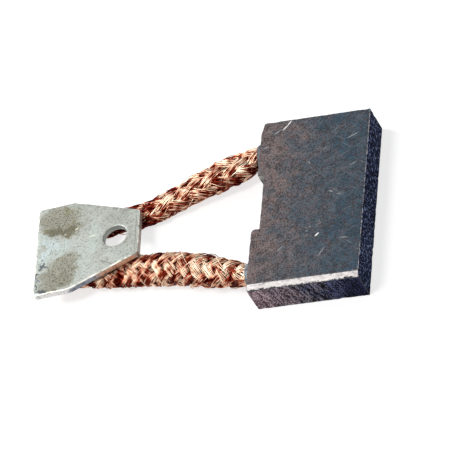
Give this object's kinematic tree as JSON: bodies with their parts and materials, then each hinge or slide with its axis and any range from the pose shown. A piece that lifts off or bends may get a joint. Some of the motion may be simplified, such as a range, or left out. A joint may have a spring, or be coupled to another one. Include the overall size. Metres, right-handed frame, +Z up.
{
  "type": "carbon brush",
  "caption": "Rectangular metal-graphite block for a motor or generator, with flexible braided copper shunts tamped into its back and welded to a flat tinned terminal tab with a screw hole.",
  "frame": {"origin": "bottom centre of the carbon block, which lies on its back face", "axes": "+X towards the running face, +Y along the block's long side, +Z up through its thickness"},
  "size_m": [0.0926, 0.0508, 0.0095],
  "materials": {
    "carbon_block": "ground metal graphite, dark grey with a faint brown and blue cast",
    "cement": "tamped conductive cement, light bluish grey",
    "copper_braid": "bare copper wire, plaited",
    "terminal": "tinned copper sheet, dull, with heat stains at the welds"
  },
  "bodies": {
    "root": {"carbon_block": "carbon_block", "cement_high": "cement", "cement_low": "cement", "braid_high": "copper_braid", "braid_low": "copper_braid", "terminal": "terminal"}
  },
  "joints": []
}
